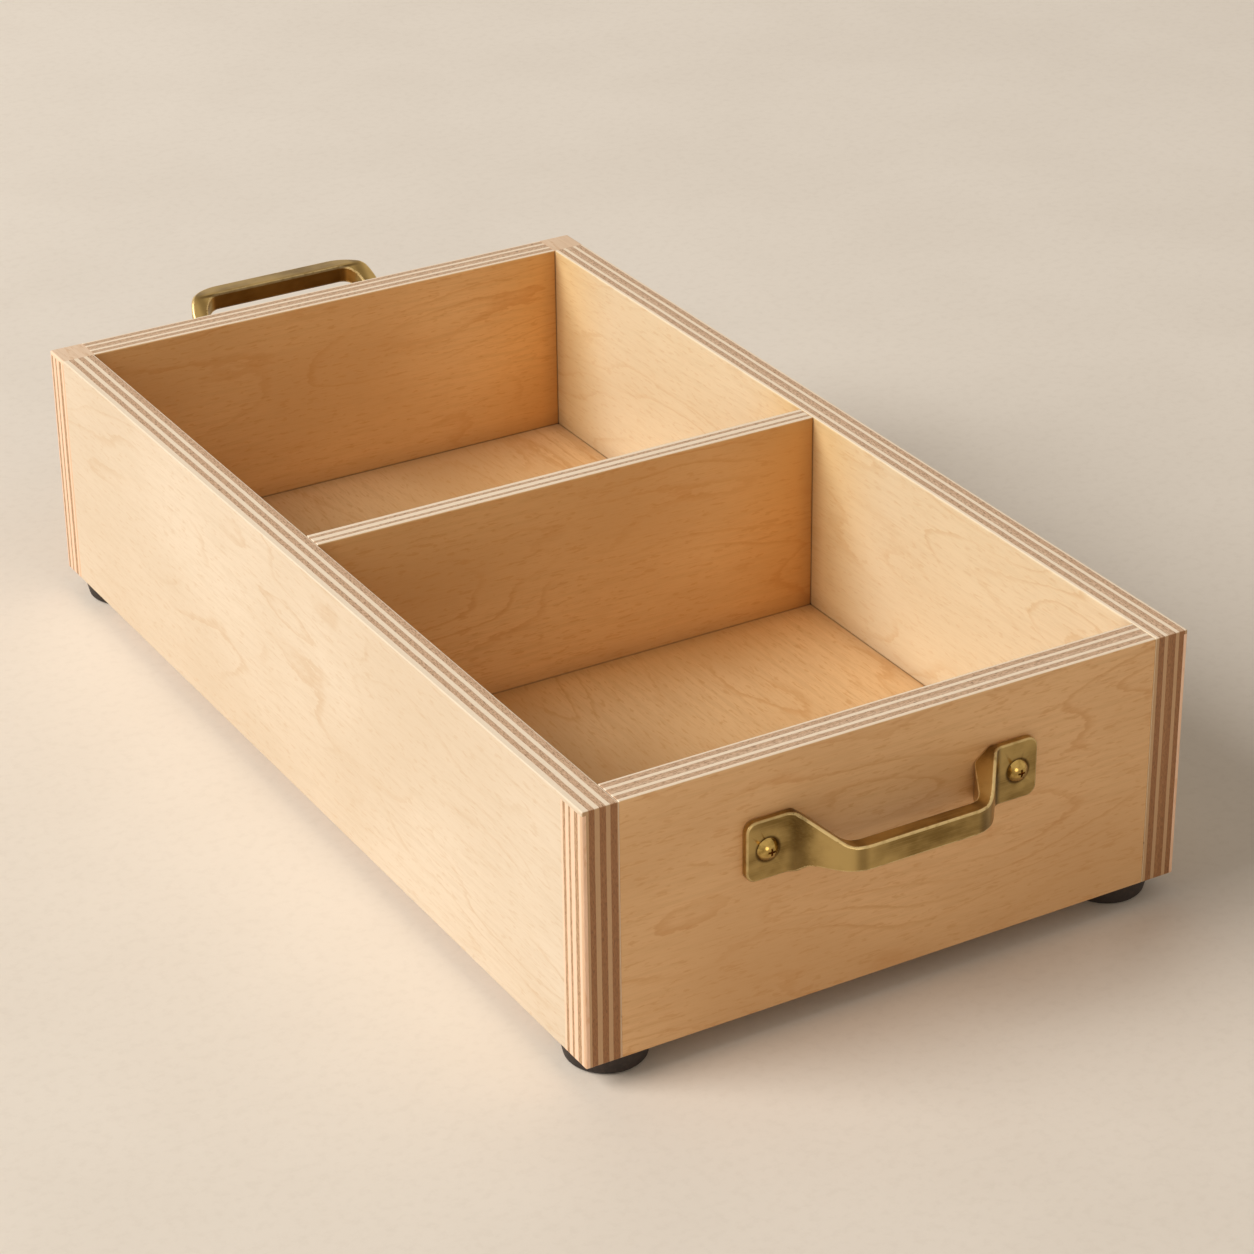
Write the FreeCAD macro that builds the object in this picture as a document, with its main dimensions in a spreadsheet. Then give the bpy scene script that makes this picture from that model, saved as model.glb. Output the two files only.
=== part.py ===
"""Craft caddy: an open plywood tray with two compartments, two pulls and four rubber feet.

Millimetres, +Z up. +X runs across the caddy and +Y along it, from the front to the back.
The origin is the middle of the footprint, on the surface that the feet stand on.
"""
import FreeCAD, Part
import os
import re

import Sketcher
from FreeCAD import Placement, Rotation, Vector

doc = FreeCAD.newDocument("craft_caddy")

# Driving dimensions. Every size below comes from one of these cells.
DIMENSIONS = [
    ("box_width", 308.0, "over the outer faces of the side panels"),
    ("box_length", 556.0, "over the outer faces of the front and back panels"),
    ("panel_height", 125.0, "height of the four walls"),
    ("panel_thickness", 17.5, "thickness of the four walls, seven plies"),
    ("divider_thickness", 12.0, "thickness of the divider, five plies"),
    ("divider_offset", 5.5, "middle of the divider behind the middle of the box"),
    ("floor_thickness", 9.0, "thickness of the bottom panel"),
    ("floor_gap", 12.0, "underside of the bottom panel above the lower edge of the walls"),
    ("groove_depth", 6.0, "depth of the grooves that hold the bottom panel"),
    ("groove_clearance", 0.2, "play of the bottom panel in its grooves"),
    ("edge_round", 0.8, "radius of the eased arrises of the panels"),
    ("joint_ease", 0.35, "small chamfer along a butt joint that shows"),
    ("strip_thickness", 2.0, "corner strips let into the side panels"),
    ("strip_top_gap", 2.0, "top of a corner strip below the rim"),
    ("cap_thickness", 2.0, "square caps let into the rim at the back corners"),
    ("dowel_diameter", 8.0, "wooden dowels of the box corners"),
    ("dowel_length", 40.0, "length of a corner dowel"),
    ("dowel_depth", 11.5, "how far a dowel goes into a side panel"),
    ("dowel_end_inset", 27.0, "lowest and highest dowel from the edges of the panel"),
    ("divider_dowel_diameter", 6.0, "wooden dowels of the divider"),
    ("divider_dowel_length", 30.0, "length of a divider dowel"),
    ("divider_dowel_inset", 24.0, "divider dowels from the edges of the divider"),
    ("dowel_clearance", 0.1, "radial play of a dowel, and its play at each end"),
    ("foot_height", 11.0, "height of a rubber foot"),
    ("foot_top_radius", 20.5, "radius of a foot where it meets the wood"),
    ("foot_base_radius", 18.0, "radius of a foot at its base"),
    ("foot_edge_round", 3.0, "rounding of the lower edge of a foot"),
    ("foot_inset", 22.0, "middle of a foot from the outer faces of the box"),
    ("foot_recess_radius", 6.0, "recess for the screw head in the base of a foot"),
    ("foot_recess_depth", 5.0, "depth of that recess"),
    ("block_size", 34.0, "side of a square block that carries a foot"),
    ("block_chamfer", 12.0, "cut inner corner of that block"),
    ("foot_screw_length", 14.0, "foot screw under its head"),
    ("foot_screw_head_radius", 4.2, "radius of the head of a foot screw"),
    ("foot_screw_head_height", 2.6, "height of the head of a foot screw"),
    ("foot_screw_head_bevel", 0.8, "bevel round the head of a foot screw"),
    ("screw_radius", 2.0, "shank of every screw"),
    ("screw_clearance", 0.3, "radial play of a screw in a foot or a pull"),
    ("pilot_clearance", 0.05, "radial play of a screw in its pilot hole"),
    ("pull_plate_end", 10.5, "screw to the outer end of its plate"),
    ("pull_plate_inner", 11.0, "screw to the bend where the bar leaves the plate"),
    ("pull_plate_height", 29.0, "height of a plate"),
    ("pull_plate_thickness", 4.0, "thickness of a plate"),
    ("pull_plate_corner", 5.0, "radius of the corners of a plate"),
    ("pull_leg_root", 9.5, "thickness of the legs at the panel, along it"),
    ("pull_leg_bend", 3.0, "radius of the inner edge of a leg at the panel"),
    ("pull_plate_bend", 5.0, "radius of the bends beside the plates"),
    ("pull_shoulder", 2.5, "run of a leg, from its plate, that is as high as the plate"),
    ("pull_shoulder_round", 4.0, "radius of the curves at the end of that run"),
    ("pull_screw_head_radius", 5.4, "radius of the round head of a pull screw"),
    ("pull_screw_head_height", 3.4, "height of that head"),
    ("pull_screw_length", 16.0, "pull screw under its head"),
    ("cross_width", 1.0, "width of the arms of the cross recess in a pull screw"),
    ("cross_length", 3.6, "length of those arms"),
    ("cross_depth", 1.9, "depth of the cross recess"),
    ("front_pull_centres", 128.0, "distance between the two screws of the front pull"),
    ("front_pull_depth", 42.0, "front pull screws below the rim"),
    ("front_pull_offset", -3.0, "middle of the front pull to the right of the middle"),
    ("front_pull_projection", 27.0, "outer face of the front grip from the panel"),
    ("front_pull_grip_half", 35.0, "middle of the front grip to its outer bend"),
    ("front_pull_grip_rise", -4.0, "middle of the front grip above its screws"),
    ("front_pull_grip_height", 12.0, "height of the front grip"),
    ("front_pull_grip_thickness", 8.0, "thickness of the front grip"),
    ("front_pull_leg_thickness", 6.0, "thickness of the front legs where they meet the grip"),
    ("front_pull_bend", 18.0, "radius of the outer bends of the front grip"),
    ("front_pull_inner_bend", 10.0, "radius of the inner bends of the front grip"),
    ("front_pull_heel", 6.5, "run from a front plate over which the lower edge of its leg rises"),
    ("front_pull_waist", 8.0, "radius of the upper curves where the front legs meet the grip"),
    ("front_pull_heel_round", 4.0, "radius of the lower curves of the front legs"),
    ("front_pull_edge_round", 1.0, "rounding of the edges of the front pull"),
    ("back_pull_centres", 132.0, "distance between the two screws of the back pull"),
    ("back_pull_depth", 32.0, "back pull screws below the rim"),
    ("back_pull_offset", -10.0, "middle of the back pull to the right of the middle"),
    ("back_pull_projection", 37.0, "outer face of the back grip from the panel"),
    ("back_pull_grip_half", 55.0, "middle of the back grip to its outer bend"),
    ("back_pull_grip_rise", 26.6, "middle of the back grip above its screws"),
    ("back_pull_grip_height", 9.5, "height of the back grip"),
    ("back_pull_grip_thickness", 11.0, "thickness of the back grip"),
    ("back_pull_leg_thickness", 8.0, "thickness of the back legs where they meet the grip"),
    ("back_pull_bend", 22.0, "radius of the outer bends of the back grip"),
    ("back_pull_inner_bend", 11.0, "radius of the inner bends of the back grip"),
    ("back_pull_waist", 8.0, "radius of the upper curves where the back legs meet the grip"),
    ("back_pull_heel_round", 5.0, "radius of the lower curves of the back legs"),
    ("back_pull_edge_round", 1.5, "rounding of the edges of the back pull"),
]

sheet = doc.addObject("Spreadsheet::Sheet", "Sizes")
for row, (alias, value, note) in enumerate(DIMENSIONS, start=1):
    sheet.set(f"A{row}", alias)
    sheet.set(f"B{row}", str(value))
    sheet.set(f"C{row}", note)
    sheet.setAlias(f"B{row}", alias)
doc.recompute()

ALIASES = re.compile(r"\b(" + "|".join(alias for alias, _, _ in DIMENSIONS) + r")\b")


def rule(text):
    """An expression on the sheet, from a formula that names its cells."""
    return ALIASES.sub(r"Sizes.\1", str(text))


def size(alias):
    """The present value of a cell."""
    return float(sheet.get(alias))


def bind(item, **rules):
    """Ties properties to formulas. Two underlines in a name stand for a dot."""
    for name, text in rules.items():
        item.setExpression(name.replace("__", "."), rule(text))


def place(item, x, y, z):
    """Ties the place of an object to formulas."""
    bind(item, Placement__Base__x=x, Placement__Base__y=y, Placement__Base__z=z)


nodes = []


def keep(item):
    """Marks an object as a sub-part that is exported under its label."""
    nodes.append(item)
    return item


def new_body(label):
    """An empty body that is exported as a sub-part."""
    body = doc.addObject("PartDesign::Body", label)
    body.Label = label
    return keep(body)


def base_plane(body, role):
    """One of the origin planes of a body."""
    return next(item for item in body.Origin.OriginFeatures if item.Role == role)


def add_box(body, name, length, width, height, x="0", y="0", z="0", cut=False):
    """Adds a box to a body, or cuts one from it."""
    kind = "PartDesign::SubtractiveBox" if cut else "PartDesign::AdditiveBox"
    box = body.newObject(kind, name)
    bind(box, Length=length, Width=width, Height=height)
    place(box, x, y, z)
    return box


def drill(body, name, radius, depth, x, y, z, axis=Vector(0, 0, 1)):
    """Drills a round hole from a point along an axis."""
    hole = body.newObject("PartDesign::SubtractiveCylinder", name)
    hole.Placement = Placement(Vector(0, 0, 0), Rotation(Vector(0, 0, 1), axis))
    bind(hole, Radius=radius, Height=depth)
    place(hole, x, y, z)
    return hole


def pick_edges(shape, wanted):
    """Names of the edges whose middle and direction pass a test."""
    names = []
    for number, edge in enumerate(shape.Edges, start=1):
        middle = edge.valueAt((edge.FirstParameter + edge.LastParameter) / 2)
        run = edge.Vertexes[-1].Point - edge.Vertexes[0].Point
        if wanted(middle, run):
            names.append(f"Edge{number}")
    return names


def along(run, axis):
    """True where an edge runs along an axis, given as 0, 1 or 2."""
    return abs(run[axis]) > 0.999 * run.Length > 0


def ease(body, name, base, edges, radius, kind="PartDesign::Fillet", prop="Radius"):
    """Rounds or chamfers the named edges of a feature."""
    feature = body.newObject(kind, name)
    feature.Base = (base, edges)
    feature.setExpression(prop, rule(radius))
    return feature


def near(value, target):
    """True where two coordinates are the same."""
    return abs(value - target) < 0.01


# Places that several pieces share, as formulas on the sheet.
INNER_WIDTH = "(box_width - 2 * panel_thickness)"
INNER_LENGTH = "(box_length - 2 * panel_thickness)"
BOX_MIDDLE = "((front_pull_projection - back_pull_projection) / 2)"
BOX_FRONT = f"({BOX_MIDDLE} - box_length / 2)"
BOX_BACK = f"({BOX_MIDDLE} + box_length / 2)"
DIVIDER_START = "(box_length / 2 + divider_offset - divider_thickness / 2)"
DIVIDER_HEIGHT = "(panel_height - floor_gap - floor_thickness)"
GROOVE_HEIGHT = "(floor_thickness + groove_clearance)"
DOWEL_HOLE_RADIUS = "(dowel_diameter / 2 + dowel_clearance)"
DIVIDER_HOLE_RADIUS = "(divider_dowel_diameter / 2 + dowel_clearance)"
PILOT_RADIUS = "(screw_radius + pilot_clearance)"
SIDES = ("left", "right")
ENDS = ("front", "back")
CORNER_DOWELS = 3
DIVIDER_DOWELS = 2


def dowel_height(number):
    """Height of a corner dowel above the lower edge of the walls."""
    step = f"{number} / {CORNER_DOWELS - 1}"
    return f"(dowel_end_inset + {step} * (panel_height - 2 * dowel_end_inset))"


def divider_dowel_height(number):
    """Height of a divider dowel above the lower edge of the walls."""
    step = f"{number} / {DIVIDER_DOWELS - 1}"
    start = "floor_gap + floor_thickness + divider_dowel_inset"
    return f"({start} + {step} * ({DIVIDER_HEIGHT} - 2 * divider_dowel_inset))"


# Side panels. Each runs the full length of the box, with its inner face towards the middle.
def side_panel(side):
    """A side panel, in a frame whose corner is its outermost, foremost and lowest point."""
    left = side == "left"
    label = f"side_panel_{side}"
    body = new_body(label)
    blank = add_box(body, f"{label}_blank", "panel_thickness", "box_length", "panel_height")
    doc.recompute()
    outer_x = 0 if left else size("panel_thickness")
    ends_y = (0, size("box_length"))

    def exposed(middle, run):
        outer_end = near(middle.x, outer_x) and any(near(middle.y, end) for end in ends_y)
        return along(run, 1) or (along(run, 2) and outer_end) or along(run, 0)

    ease(body, f"{label}_arris", blank, pick_edges(blank.Shape, exposed), "edge_round")
    inner = "panel_thickness - groove_depth" if left else "0"
    add_box(body, f"{label}_groove", "groove_depth", f"{INNER_LENGTH} + 2 * groove_depth",
            GROOVE_HEIGHT, inner, "panel_thickness - groove_depth", "floor_gap", cut=True)
    outer = "0" if left else "panel_thickness - strip_thickness"
    for end, y in zip(ENDS, ("0", "box_length - panel_thickness")):
        add_box(body, f"{label}_{end}_rebate", "strip_thickness", "panel_thickness",
                "panel_height - strip_top_gap", outer, y, "0", cut=True)
    add_box(body, f"{label}_cap_rebate", "panel_thickness", "panel_thickness", "cap_thickness",
            "0", "box_length - panel_thickness", "panel_height - cap_thickness", cut=True)
    into = Vector(-1 if left else 1, 0, 0)
    face = "panel_thickness" if left else "0"
    for end, y in zip(ENDS, ("panel_thickness / 2", "box_length - panel_thickness / 2")):
        for number in range(CORNER_DOWELS):
            drill(body, f"{label}_{end}_hole_{number}", DOWEL_HOLE_RADIUS,
                  "dowel_depth + dowel_clearance", face, y, dowel_height(number), into)
    for number in range(DIVIDER_DOWELS):
        drill(body, f"{label}_divider_hole_{number}", DIVIDER_HOLE_RADIUS,
              "dowel_depth + dowel_clearance", face, f"{DIVIDER_START} + divider_thickness / 2",
              divider_dowel_height(number), into)
    x = "-box_width / 2" if left else "box_width / 2 - panel_thickness"
    place(body, x, BOX_FRONT, "foot_height")


for side in SIDES:
    side_panel(side)


# Corner strips. Thin strips of ply edge, let in flush at both ends of each outer side face.
def corner_strip(side, end):
    """A corner strip, in a frame whose corner is its own lowest corner."""
    left = side == "left"
    front = end == "front"
    label = f"corner_strip_{end}_{side}"
    body = new_body(label)
    blank = add_box(body, f"{label}_blank", "strip_thickness", "panel_thickness",
                    "panel_height - strip_top_gap")
    doc.recompute()
    outer_x = 0 if left else size("strip_thickness")
    end_y = 0 if front else size("panel_thickness")

    def exposed(middle, run):
        arris = along(run, 2) and near(middle.x, outer_x) and near(middle.y, end_y)
        foot = near(middle.z, 0) and (near(middle.x, outer_x) or near(middle.y, end_y))
        return arris or foot

    ease(body, f"{label}_arris", blank, pick_edges(blank.Shape, exposed), "edge_round")
    x = "-box_width / 2" if left else "box_width / 2 - strip_thickness"
    y = BOX_FRONT if front else f"{BOX_BACK} - panel_thickness"
    place(body, x, y, "foot_height")


for side in SIDES:
    for end in ENDS:
        corner_strip(side, end)


# Corner caps. Square tiles of birch, let in flush over the back ends of the side panels.
def corner_cap(side):
    """A cap, in a frame whose corner is its own lowest corner."""
    left = side == "left"
    label = f"corner_cap_{side}"
    body = new_body(label)
    blank = add_box(body, f"{label}_blank", "panel_thickness", "panel_thickness", "cap_thickness")
    doc.recompute()
    outer_x = 0 if left else size("panel_thickness")
    top, back = size("cap_thickness"), size("panel_thickness")

    def exposed(middle, run):
        outer = near(middle.x, outer_x)
        rear = near(middle.y, back)
        return (near(middle.z, top) and (outer or rear)) or (along(run, 2) and outer and rear)

    ease(body, f"{label}_arris", blank, pick_edges(blank.Shape, exposed), "edge_round")
    x = "-box_width / 2" if left else "box_width / 2 - panel_thickness"
    place(body, x, f"{BOX_BACK} - panel_thickness",
          "foot_height + panel_height - cap_thickness")


for side in SIDES:
    corner_cap(side)


# Front and back panels. Each sits between the side panels and carries a pull on its outer face.
def end_panel(end):
    """A front or back panel, in a frame whose corner is its own lowest corner."""
    front = end == "front"
    label = f"{end}_panel"
    body = new_body(label)
    blank = add_box(body, f"{label}_blank", INNER_WIDTH, "panel_thickness", "panel_height")
    doc.recompute()
    outer_y = 0 if front else size("panel_thickness")
    arrises = pick_edges(blank.Shape, lambda middle, run: along(run, 0))
    rounded = ease(body, f"{label}_arris", blank, arrises, "edge_round")
    doc.recompute()
    joints = pick_edges(rounded.Shape,
                        lambda middle, run: along(run, 2) and near(middle.y, outer_y))
    ease(body, f"{label}_joint", rounded, joints, "joint_ease", "PartDesign::Chamfer", "Size")
    inner = "panel_thickness - groove_depth" if front else "0"
    add_box(body, f"{label}_groove", INNER_WIDTH, "groove_depth", GROOVE_HEIGHT,
            "0", inner, "floor_gap", cut=True)
    depth = "dowel_length - dowel_depth + dowel_clearance"
    for side, x, axis in (("left", "0", 1), ("right", INNER_WIDTH, -1)):
        for number in range(CORNER_DOWELS):
            drill(body, f"{label}_{side}_hole_{number}", DOWEL_HOLE_RADIUS, depth, x,
                  "panel_thickness / 2", dowel_height(number), Vector(axis, 0, 0))
    face = "0" if front else "panel_thickness"
    into = Vector(0, 1 if front else -1, 0)
    pilot = "pull_screw_length - pull_plate_thickness + pilot_clearance"
    for side, sign in zip(SIDES, "-+"):
        drill(body, f"{label}_{side}_pilot", PILOT_RADIUS, pilot,
              f"{INNER_WIDTH} / 2 + {end}_pull_offset {sign} {end}_pull_centres / 2", face,
              f"panel_height - {end}_pull_depth", into)
    y = BOX_FRONT if front else f"{BOX_BACK} - panel_thickness"
    place(body, "panel_thickness - box_width / 2", y, "foot_height")


for end in ENDS:
    end_panel(end)


# Divider. A thinner panel that stands on the bottom panel, doweled into the side panels.
def divider_panel():
    """The divider, in a frame whose corner is its own lowest corner."""
    label = "divider_panel"
    body = new_body(label)
    blank = add_box(body, f"{label}_blank", INNER_WIDTH, "divider_thickness", DIVIDER_HEIGHT)
    doc.recompute()
    top = size("panel_height") - size("floor_gap") - size("floor_thickness")
    arrises = pick_edges(blank.Shape,
                         lambda middle, run: along(run, 0) and near(middle.z, top))
    rounded = ease(body, f"{label}_arris", blank, arrises, "edge_round")
    doc.recompute()
    joints = pick_edges(rounded.Shape, lambda middle, run: along(run, 2))
    ease(body, f"{label}_joint", rounded, joints, "joint_ease", "PartDesign::Chamfer", "Size")
    depth = "divider_dowel_length - dowel_depth + dowel_clearance"
    for side, x, axis in (("left", "0", 1), ("right", INNER_WIDTH, -1)):
        for number in range(DIVIDER_DOWELS):
            drill(body, f"{label}_{side}_hole_{number}", DIVIDER_HOLE_RADIUS, depth, x,
                  "divider_thickness / 2",
                  f"{divider_dowel_height(number)} - floor_gap - floor_thickness",
                  Vector(axis, 0, 0))
    place(body, "panel_thickness - box_width / 2", f"{DIVIDER_START} + {BOX_FRONT}",
          "foot_height + floor_gap + floor_thickness")


divider_panel()


# Bottom panel. It lies in grooves in all four walls.
def bottom_panel():
    """The bottom panel, in a frame whose corner is its own lowest corner."""
    label = "bottom_panel"
    body = new_body(label)
    reach = "2 * (groove_depth - groove_clearance)"
    add_box(body, f"{label}_blank", f"{INNER_WIDTH} + {reach}", f"{INNER_LENGTH} + {reach}",
            "floor_thickness")
    start = "panel_thickness - groove_depth + groove_clearance"
    place(body, f"{start} - box_width / 2", f"{start} + {BOX_FRONT}",
          "foot_height + floor_gap")


bottom_panel()


# Dowels. Three in each corner of the box and two at each end of the divider.
def dowel_row(label, count, radius, length, x, y, height_of):
    """A row of dowels across the box, as one sub-part of separate solids."""
    pins = []
    for number in range(count):
        pin = doc.addObject("Part::Cylinder", f"{label}_{number}")
        pin.Placement = Placement(Vector(0, 0, 0), Rotation(Vector(0, 0, 1), Vector(1, 0, 0)))
        bind(pin, Radius=radius, Height=length)
        place(pin, x, y, f"foot_height + {height_of(number)}")
        pins.append(pin)
    row = doc.addObject("Part::Compound", label)
    row.Label = label
    row.Links = pins
    keep(row)


def dowel_start(side, length):
    """The lower end in X of a dowel whose other part is in a side panel."""
    if side == "left":
        return "panel_thickness - dowel_depth - box_width / 2"
    return f"box_width / 2 - panel_thickness + dowel_depth - {length}"


for end, y in zip(ENDS, (f"{BOX_FRONT} + panel_thickness / 2",
                         f"{BOX_BACK} - panel_thickness / 2")):
    for side in SIDES:
        dowel_row(f"corner_dowels_{end}_{side}", CORNER_DOWELS, "dowel_diameter / 2",
                  "dowel_length", dowel_start(side, "dowel_length"), y, dowel_height)
for side in SIDES:
    dowel_row(f"divider_dowels_{side}", DIVIDER_DOWELS, "divider_dowel_diameter / 2",
              "divider_dowel_length", dowel_start(side, "divider_dowel_length"),
              f"{BOX_MIDDLE} + divider_offset", divider_dowel_height)


# Feet, with the block that carries each one and the screw that holds it.
def revolve_outline(body, name, points):
    """Turns a closed outline of radius and height formulas about the upright axis."""
    sketch = body.newObject("Sketcher::SketchObject", f"{name}_outline")
    sketch.AttachmentSupport = [(base_plane(body, "XZ_Plane"), "")]
    sketch.MapMode = "FlatFace"
    outline_sketch(sketch, points)
    turn = body.newObject("PartDesign::Revolution", name)
    turn.Profile = sketch
    turn.ReferenceAxis = (sketch, ["V_Axis"])
    turn.Angle = 360
    sketch.Visibility = False
    doc.recompute()
    return turn


def outline_sketch(sketch, points):
    """Fills a sketch with a closed outline whose corners are tied to formulas."""
    values = [tuple(evaluate(text) for text in point) for point in points]
    count = len(points)
    for number in range(count):
        start, stop = values[number], values[(number + 1) % count]
        sketch.addGeometry(Part.LineSegment(Vector(*start, 0), Vector(*stop, 0)), False)
    for number in range(count):
        sketch.addConstraint(Sketcher.Constraint("Coincident", number, 2,
                                                 (number + 1) % count, 1))
    for number, (across, up) in enumerate(points):
        for kind, text, value in (("DistanceX", across, values[number][0]),
                                  ("DistanceY", up, values[number][1])):
            index = sketch.addConstraint(Sketcher.Constraint(kind, -1, 1, number, 1, value))
            sketch.setExpression(f"Constraints[{index}]", rule(text))


def evaluate(text):
    """The present value of a formula on the sheet."""
    found = sheet.evalExpression(rule(text))
    return float(getattr(found, "Value", found))


def foot(side, end):
    """A rubber foot, upside up, with the middle of its base at its own origin."""
    label = f"foot_{end}_{side}"
    body = new_body(label)
    hole = "screw_radius + screw_clearance"
    turned = revolve_outline(body, f"{label}_turned", [
        (hole, "foot_height"), (hole, "foot_recess_depth"),
        ("foot_recess_radius", "foot_recess_depth"), ("foot_recess_radius", "0"),
        ("foot_base_radius", "0"), ("foot_top_radius", "foot_height")])
    rim = pick_edges(turned.Shape, lambda middle, run: near(middle.z, 0) and near(
        Vector(middle.x, middle.y, 0).Length, size("foot_base_radius")))
    ease(body, f"{label}_rim", turned, rim, "foot_edge_round")
    sign_x = "-" if side == "left" else "+"
    sign_y = "-" if end == "front" else "+"
    place(body, f"{sign_x}1 * (box_width / 2 - foot_inset)",
          f"{BOX_MIDDLE} {sign_y} (box_length / 2 - foot_inset)", "0")


def foot_block(side, end):
    """A block under the bottom panel, in the corner of two walls."""
    left, front = side == "left", end == "front"
    label = f"foot_block_{end}_{side}"
    body = new_body(label)
    blank = add_box(body, f"{label}_blank", "block_size", "block_size", "floor_gap")
    doc.recompute()
    inner_x = size("block_size") if left else 0
    inner_y = size("block_size") if front else 0
    corner = pick_edges(blank.Shape, lambda middle, run: along(run, 2)
                        and near(middle.x, inner_x) and near(middle.y, inner_y))
    ease(body, f"{label}_corner", blank, corner, "block_chamfer", "PartDesign::Chamfer", "Size")
    inset = "foot_inset - panel_thickness"
    drill(body, f"{label}_pilot", PILOT_RADIUS,
          "foot_recess_depth + foot_screw_length - foot_height + pilot_clearance",
          inset if left else f"block_size - ({inset})",
          inset if front else f"block_size - ({inset})", "0")
    wall = "panel_thickness - box_width / 2"
    x = wall if left else "box_width / 2 - panel_thickness - block_size"
    y = f"{BOX_FRONT} + panel_thickness" if front else (
        f"{BOX_BACK} - panel_thickness - block_size")
    place(body, x, y, "foot_height")


def foot_screw(side, end):
    """A pan-head screw, with the underside of its head at its own origin."""
    label = f"foot_screw_{end}_{side}"
    body = new_body(label)
    revolve_outline(body, f"{label}_turned", [
        ("0", "-foot_screw_head_height"),
        ("foot_screw_head_radius - foot_screw_head_bevel", "-foot_screw_head_height"),
        ("foot_screw_head_radius", "foot_screw_head_bevel - foot_screw_head_height"),
        ("foot_screw_head_radius", "0"),
        ("screw_radius", "0"), ("screw_radius", "foot_screw_length - screw_radius"),
        ("0", "foot_screw_length")])
    sign_x = "-" if side == "left" else "+"
    sign_y = "-" if end == "front" else "+"
    place(body, f"{sign_x}1 * (box_width / 2 - foot_inset)",
          f"{BOX_MIDDLE} {sign_y} (box_length / 2 - foot_inset)", "foot_recess_depth")


for end in ENDS:
    for side in SIDES:
        foot(side, end)
        foot_block(side, end)
        foot_screw(side, end)


# Pulls. Each is one cast bar with two plates, made as its right half and mirrored. The grip of
# the back one is higher than its plates and stands further out, so that a hand reaches it over
# the rim.
PLATE_TOP = "(pull_plate_height / 2)"


def screw_x(end):
    """A screw from the middle of its pull."""
    return f"({end}_pull_centres / 2)"


def plate_end(end):
    """The outer end of a plate from the middle of its pull."""
    return f"({screw_x(end)} + pull_plate_end)"


def plate_inner(end):
    """The bend where a leg leaves its plate, from the middle of the pull."""
    return f"({screw_x(end)} - pull_plate_inner)"


def leg_run(end):
    """How far a leg leans along the panel, from its plate to the grip."""
    return f"({plate_inner(end)} - {end}_pull_grip_half)"


def leg_rise(end):
    """How far a leg goes out from its plate to the outer face of the grip."""
    return f"({end}_pull_projection - pull_plate_thickness)"


def grip_inner(end):
    """The inner face of a grip, from the panel."""
    return f"({end}_pull_projection - {end}_pull_grip_thickness)"


def inner_head(end):
    """The corner of a leg and the inner face of the grip, from the middle of a pull."""
    slope = f"({leg_run(end)} / {leg_rise(end)})"
    outer = f"({plate_inner(end)} - {slope} * ({grip_inner(end)} - pull_plate_thickness))"
    return f"({outer} - {end}_pull_leg_thickness * sqrt(1 + {slope} * {slope}))"


# How a pull and its screws turn to face out of the front or the back panel.
OUTWARDS = {"front": Rotation(Vector(1, 0, 0), 90), "back": Rotation(Vector(0, 1, 1), 180)}


def round_corners(body, base, corners, axis, prefix):
    """Rounds the edges along an axis that pass through given points of an outline."""
    first, second = [number for number in range(3) if number != axis]
    for name, across, up, radius in corners:
        x, z = evaluate(across), evaluate(up)
        edges = pick_edges(base.Shape, lambda middle, run: along(run, axis)
                           and near(middle[first], x) and near(middle[second], z))
        base = ease(body, f"{prefix}_{name}", base, edges, radius)
        doc.recompute()
    return base


def pad_outline(body, name, role, points, length):
    """Pads a closed outline to both sides of an origin plane."""
    sketch = body.newObject("Sketcher::SketchObject", f"{name}_outline")
    sketch.AttachmentSupport = [(base_plane(body, role), "")]
    sketch.MapMode = "FlatFace"
    outline_sketch(sketch, points)
    sketch.Visibility = False
    pad = body.newObject("PartDesign::Pad", name)
    pad.Profile = sketch
    pad.Midplane = True
    bind(pad, Length=length)
    doc.recompute()
    return pad


# Two faces count as meeting smoothly when the cosine of the turn between them is over this.
SMOOTH_COSINE = 0.97


def sharp_edges(shape, wanted):
    """Names of the edges where two faces meet at an angle, and whose middle passes a test."""
    names = []
    for number, edge in enumerate(shape.Edges, start=1):
        middle = edge.valueAt((edge.FirstParameter + edge.LastParameter) / 2)
        faces = shape.ancestorsOfType(edge, Part.Face)
        if len(faces) != 2 or not wanted(middle):
            continue
        one, other = (face.normalAt(*face.Surface.parameter(middle)) for face in faces)
        if one.dot(other) < SMOOTH_COSINE:
            names.append(f"Edge{number}")
    return names


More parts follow.
